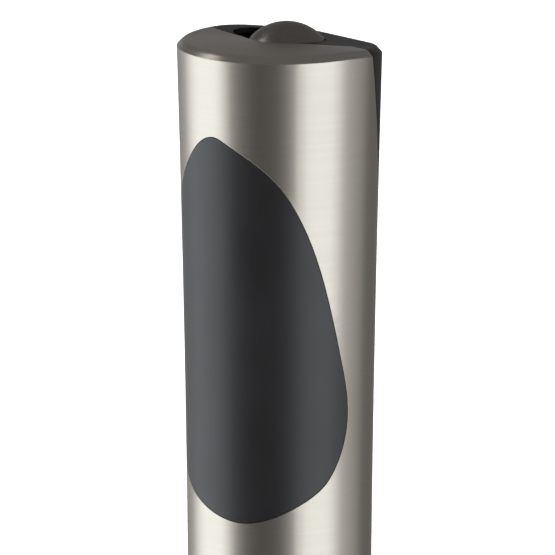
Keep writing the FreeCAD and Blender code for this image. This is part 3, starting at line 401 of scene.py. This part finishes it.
# ---- Operators -------------------------------------------------------------------------
class FinishShell(bpy.types.Operator):
    """Brushes the nickel shell round the tower"""

    bl_idname = "can_opener.finish_shell"
    bl_label = "Finish the shell"

    def execute(self, context):
        finish_nodes(brushed_nickel(finishes_of(context)), "steel_shell")
        return {"FINISHED"}


class FinishKnob(bpy.types.Operator):
    """Gives the lever's knob its darker brushed cap and black underside"""

    bl_idname = "can_opener.finish_knob"
    bl_label = "Finish the knob"

    def execute(self, context):
        finishes = finishes_of(context)
        finish_nodes(dark_nickel(finishes), "dome_cap")
        core = moulded("knob_core_plastic", tuple(finishes.housing_colour), 0.5, 0.2 * MM)
        finish_nodes(core.material, "dome_core")
        return {"FINISHED"}


class FinishHousing(bpy.types.Operator):
    """Moulds the black cover and base, and the soft grip pad"""

    bl_idname = "can_opener.finish_housing"
    bl_label = "Finish the housing"

    def execute(self, context):
        finishes = finishes_of(context)
        black = moulded("black_housing", tuple(finishes.housing_colour), 0.38, finishes.edge_rounding)
        finish_nodes(black.material, "front_cover", "base_tray", "base_plate")
        finish_nodes(soft_grip(finishes), "grip_pad")
        rubber = moulded("foot_rubber", (0.018, 0.018, 0.018), 0.75, 0.2 * MM, 0.5 * MM, 0.04 * MM)
        finish_nodes(rubber.material, "rubber_feet", "cord_gland")
        return {"FINISHED"}


class FinishCuttingParts(bpy.types.Operator):
    """Finishes the cutting wheel, the drive wheel and the parts round them"""

    bl_idname = "can_opener.finish_cutting_parts"
    bl_label = "Finish the cutting parts"

    def execute(self, context):
        across = (0.0, 1.0, 0.0)
        polished = turned_metal("polished_cutter", (0.78, 0.78, 0.78), 0.16, CUTTER_AXIS, across)
        finish_nodes(polished, "cutting_wheel", "cutter_axle", "cutter_screw")
        hard = turned_metal("hard_steel_wheel", (0.52, 0.51, 0.50), 0.3, DRIVE_AXIS, across)
        finish_nodes(hard, "drive_wheel", "drive_shaft", "drive_wheel_screw")
        finish_nodes(turned_metal("washer_steel", (0.5, 0.5, 0.5), 0.34, CUTTER_AXIS, across), "cutter_washer")
        bright = sheet_metal("polished_sheet", (0.72, 0.72, 0.72), 0.2)
        finish_nodes(bright, "wear_plate", "wear_plate_rivets", "can_guides", "magnet_bracket", "magnet_pin")
        finish_nodes(bright, "magnet_arm")
        finish_nodes(turned_metal("magnet_face", (0.42, 0.42, 0.43), 0.35, middle("magnet"), (0.0, 0.0, 1.0)),
                     "magnet")
        finish_nodes(cast_metal("cast_zinc", (0.55, 0.56, 0.58)), "cutter_lever")
        return {"FINISHED"}


class FinishFasteners(bpy.types.Operator):
    """Zinc plates the screws and the stamped plates"""

    bl_idname = "can_opener.finish_fasteners"
    bl_label = "Finish the fasteners and plates"

    def execute(self, context):
        zinc = sheet_metal("zinc_plate", (0.56, 0.57, 0.58), 0.34)
        finish_nodes(zinc, "cover_screws", "base_plate_screws", "base_screws", "frame_screws", "motor_screws",
                     "mechanism_plate", "gear_plate", "motor_bracket_front", "motor_bracket_rear",
                     "ballast_plate")
        ground = turned_metal("ground_pin", (0.5, 0.5, 0.5), 0.25, middle("lever_pivot_pin"), (0.0, 1.0, 0.0))
        finish_nodes(ground, "lever_pivot_pin", "idler_axles", "plate_spacers", "motor_standoffs", "rotor_shaft")
        bronze = cast_metal("sintered_bronze", (0.50, 0.33, 0.17))
        finish_nodes(bronze, "shaft_bush_front", "shaft_bush_rear", "motor_bearings")
        return {"FINISHED"}


class FinishDrive(bpy.types.Operator):
    """Finishes the gears, the inner frame, the switch and the motor"""

    bl_idname = "can_opener.finish_drive"
    bl_label = "Finish the drive"

    def execute(self, context):
        nylon = moulded("white_nylon", (0.72, 0.70, 0.62), 0.4, 0.15 * MM, 0.4 * MM, 0.01 * MM)
        nylon.shader.inputs["Subsurface Weight"].default_value = 0.1
        nylon.shader.inputs["Subsurface Scale"].default_value = 1 * MM
        finish_nodes(nylon.material, "final_gear", "second_gear", "first_gear", "switch_plunger", "coil_bobbin")
        plain = moulded("inner_plastic", (0.06, 0.06, 0.063), 0.5, 0.2 * MM)
        finish_nodes(plain.material, "inner_frame", "start_switch", "cooling_fan")
        brass = turned_metal("turned_brass", (0.72, 0.53, 0.25), 0.25, ROTOR_AXIS, (0.0, 1.0, 0.0))
        finish_nodes(brass, "motor_pinion", "switch_terminals")
        finish_nodes(stacked_iron("stacked_iron"), "stator_core", "rotor")
        finish_nodes(wound_wire("magnet_wire"), "coil_winding")
        return {"FINISHED"}


class WindLeverSpring(bpy.types.Operator):
    """Winds the spring that lifts the cutting lever"""

    bl_idname = "can_opener.wind_lever_spring"
    bl_label = "Wind the lever spring"

    turns: IntProperty(name="Turns", description="Turns of wire", default=7, min=3, max=20)
    wire: FloatProperty(
        name="Wire", description="Diameter of the wire",
        subtype="DISTANCE", unit="LENGTH", default=0.8 * MM, min=0.1 * MM, max=3 * MM)

    def execute(self, context):
        low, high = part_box("lever_spring")
        centre = middle("lever_spring")
        radius = (high.x - low.x) / 2 - self.wire / 2
        rise = high.z - low.z - self.wire
        bm = bmesh.new()
        stand_up = Matrix.Translation((centre.x + radius, centre.y, low.z + self.wire / 2))
        stand_up = stand_up @ Matrix.Rotation(math.radians(90.0), 4, "X")
        section = bmesh.ops.create_circle(bm, cap_ends=True, segments=12, radius=self.wire / 2, matrix=stand_up)
        steps_per_turn = 32
        steps = self.turns * steps_per_turn
        geometry = section["verts"] + bm.edges[:] + bm.faces[:]
        bmesh.ops.spin(bm, geom=geometry, cent=centre, axis=(0.0, 0.0, 1.0), dvec=(0.0, 0.0, rise / steps),
                       angle=2 * math.pi * self.turns, steps=steps, use_merge=False, use_duplicate=False)
        bmesh.ops.remove_doubles(bm, verts=bm.verts[:], dist=0.001 * MM)
        wire = sheet_metal("spring_wire", (0.45, 0.45, 0.46), 0.3, (80.0, 80.0, 900.0))
        spring = new_piece("wound_spring", bm, wire, "housing", "spring_steel", "lever_spring")
        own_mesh(spring)
        return {"FINISHED"}


# ---- Studio ----------------------------------------------------------------------------
# The light round the object: (degrees from the camera towards its right, brightness).
LIGHT_ROUND = [
    (-180, 0.20), (-150, 0.36), (-136, 0.46), (-120, 1.08), (-107, 1.32), (-76, 1.32), (-66, 0.80),
    (-56, 0.34), (-45, 0.17), (-27, 0.09), (-8, 0.11), (8, 0.21), (18, 0.50), (25, 1.02), (38, 1.24),
    (64, 1.24), (74, 0.90), (84, 0.54), (112, 0.30), (124, 0.16), (150, 0.14), (180, 0.20),
]
CEILING_LIGHT = 0.13


def studio_world(bearing):
    """Tall soft boxes on both sides and a dark gap between them, under a dim ceiling."""
    world = bpy.data.worlds.new("studio")
    bpy.context.scene.world = world
    world.use_nodes = True
    tree = world.node_tree
    background = tree.nodes["Background"]
    direction = tree.nodes.new("ShaderNodeTexCoord")
    parts = tree.nodes.new("ShaderNodeSeparateXYZ")
    tree.links.new(direction.outputs["Generated"], parts.inputs[0])

    def step(operation, first, second):
        node = tree.nodes.new("ShaderNodeMath")
        node.operation = operation
        for socket, value in zip(node.inputs, (first, second)):
            if isinstance(value, bpy.types.NodeSocket):
                tree.links.new(value, socket)
            else:
                socket.default_value = value
        return node.outputs[0]

    angle = step("ARCTAN2", parts.outputs["Y"], parts.outputs["X"])
    turned = step("ADD", angle, 3 * math.pi - bearing)
    share = step("FRACT", step("DIVIDE", turned, 2 * math.pi), 0.0)
    ramp = tree.nodes.new("ShaderNodeValToRGB")
    tree.links.new(share, ramp.inputs["Fac"])
    stops = ramp.color_ramp.elements
    while len(stops) < len(LIGHT_ROUND):
        stops.new(0.5)
    for stop, (degrees, light) in zip(stops, LIGHT_ROUND):
        stop.position = (degrees + 180.0) / 360.0
        stop.color = (light, light * (1.0 + 0.06 * light), light * (1.0 + 0.08 * light), 1.0)
    ceiling = tree.nodes.new("ShaderNodeMapRange")
    ceiling.interpolation_type = "SMOOTHSTEP"
    tree.links.new(parts.outputs["Z"], ceiling.inputs["Value"])
    ceiling.inputs["From Min"].default_value = 0.0
    ceiling.inputs["From Max"].default_value = 0.32
    mixed = tree.nodes.new("ShaderNodeMix")
    mixed.data_type = "RGBA"
    tree.links.new(ceiling.outputs["Result"], mixed.inputs["Factor"])
    tree.links.new(ramp.outputs["Color"], mixed.inputs["A"])
    mixed.inputs["B"].default_value = (CEILING_LIGHT, CEILING_LIGHT, CEILING_LIGHT, 1.0)
    tree.links.new(mixed.outputs["Result"], background.inputs["Color"])


def pale_floor(glow):
    """A wide pale floor that curves up into a wall all round."""
    floor_radius, bend_radius, wall_height = 6.0, 1.5, 3.0
    bm = bmesh.new()
    start = bm.verts.new((0.0, 0.0, 0.0))
    edge = bm.verts.new((floor_radius, 0.0, 0.0))
    bm.edges.new((start, edge))
    bend = bmesh.ops.spin(bm, geom=[edge], cent=(floor_radius, 0.0, bend_radius), axis=(0.0, -1.0, 0.0),
                          angle=math.pi / 2, steps=12, use_merge=False, use_duplicate=False)
    tip = bend["geom_last"][0]
    top = bm.verts.new((tip.co.x, 0.0, wall_height))
    bm.edges.new((tip, top))
    bmesh.ops.spin(bm, geom=bm.verts[:] + bm.edges[:], cent=(0.0, 0.0, 0.0), axis=(0.0, 0.0, 1.0),
                   angle=2 * math.pi, steps=96, use_merge=True, use_duplicate=False)
    bmesh.ops.remove_doubles(bm, verts=bm.verts[:], dist=0.01 * MM)
    mesh = bpy.data.meshes.new("floor")
    bm.to_mesh(mesh)
    bm.free()
    mesh.shade_smooth()
    made = Nodes("pale_floor")
    tone = made.span(made.noise(made.place(), 3.0), 0.86, 0.88)
    grey = made.add("ShaderNodeCombineColor")
    for channel in ("Red", "Green", "Blue"):
        made.link(tone, grey.inputs[channel])
    made.link(grey.outputs["Color"], made.shader.inputs["Base Color"])
    made.shader.inputs["Roughness"].default_value = 0.9
    made.shader.inputs["Emission Color"].default_value = (1.0, 1.0, 1.0, 1.0)
    made.shader.inputs["Emission Strength"].default_value = glow
    mesh.materials.append(made.material)
    floor = bpy.data.objects.new("floor", mesh)
    bpy.context.scene.collection.objects.link(floor)
    floor.visible_glossy = False


def soft_light(name, aim, bearing, height_angle, distance, width, watts):
    """A square soft light aimed at a point."""
    light = bpy.data.lights.new(name, "AREA")
    light.shape = "SQUARE"
    light.size = width
    light.energy = watts
    lamp = bpy.data.objects.new(name, light)
    level = distance * math.cos(height_angle)
    lamp.location = aim + Vector((level * math.cos(bearing), level * math.sin(bearing),
                                  distance * math.sin(height_angle)))
    lamp.rotation_euler = (aim - lamp.location).to_track_quat("-Z", "Y").to_euler()
    lamp.visible_camera = False
    lamp.visible_glossy = False
    bpy.context.scene.collection.objects.link(lamp)
    return lamp


class BuildStudio(bpy.types.Operator):
    """Builds the floor, the light and the camera"""

    bl_idname = "can_opener.build_studio"
    bl_label = "Build the studio"

    def execute(self, context):
        studio = context.scene.opener_studio
        scene = context.scene
        scene.view_settings.view_transform = "Standard"
        scene.view_settings.look = "None"
        bearing = studio.camera_bearing
        studio_world(bearing)
        pale_floor(studio.floor_light)
        aim = TOWER_AXIS + Vector((0.0, 0.0, studio.aim_height))
        soft_light("key", aim, bearing - math.radians(75.0), math.radians(48.0), 2.4, 1.2, 26.0)
        soft_light("fill", aim, bearing + math.radians(60.0), math.radians(35.0), 2.6, 1.2, 12.0)
        soft_light("front", aim, bearing + math.radians(170.0), math.radians(55.0), 2.6, 1.4, 14.0)
        glint = soft_light("glint", DOME_AXIS, bearing - math.radians(105.0), math.radians(38.0), 1.5, 0.55, 1.2)
        glint.visible_glossy = True
        lens = bpy.data.cameras.new("camera")
        lens.sensor_width = 36.0
        lens.lens = studio.focal_length
        lens.shift_x = -2.0 / 555.0
        camera = bpy.data.objects.new("camera", lens)
        scene.collection.objects.link(camera)
        level = Vector((math.cos(bearing), math.sin(bearing), 0.0)) * studio.camera_distance
        camera.location = TOWER_AXIS + level + Vector((0.0, 0.0, studio.camera_height))
        camera.rotation_euler = (aim - camera.location).to_track_quat("-Z", "Y").to_euler()
        scene.camera = camera
        return {"FINISHED"}


class OpenerPanel(bpy.types.Panel):
    """The opener's settings and steps"""

    bl_idname = "VIEW3D_PT_can_opener"
    bl_label = "Can opener"
    bl_space_type = "VIEW_3D"
    bl_region_type = "UI"
    bl_category = "Can opener"

    def draw(self, context):
        layout = self.layout
        for group in (context.scene.opener_finishes, context.scene.opener_studio):
            box = layout.box()
            for name in group.__annotations__:
                box.prop(group, name)
        for step in STEPS:
            layout.operator(step.bl_idname)


STEPS = (
    FinishShell, FinishKnob, FinishHousing, FinishCuttingParts, FinishFasteners, FinishDrive,
    WindLeverSpring, BuildStudio,
)
CLASSES = (OpenerFinishes, OpenerStudio, *STEPS, OpenerPanel)


def register():
    for each in CLASSES:
        bpy.utils.register_class(each)
    bpy.types.Scene.opener_finishes = PointerProperty(type=OpenerFinishes)
    bpy.types.Scene.opener_studio = PointerProperty(type=OpenerStudio)


def unregister():
    del bpy.types.Scene.opener_studio
    del bpy.types.Scene.opener_finishes
    for each in reversed(CLASSES):
        bpy.utils.unregister_class(each)


def main():
    register()
    for step in STEPS:
        group, name = step.bl_idname.split(".")
        getattr(getattr(bpy.ops, group), name)()


if __name__ == "__main__":
    main()
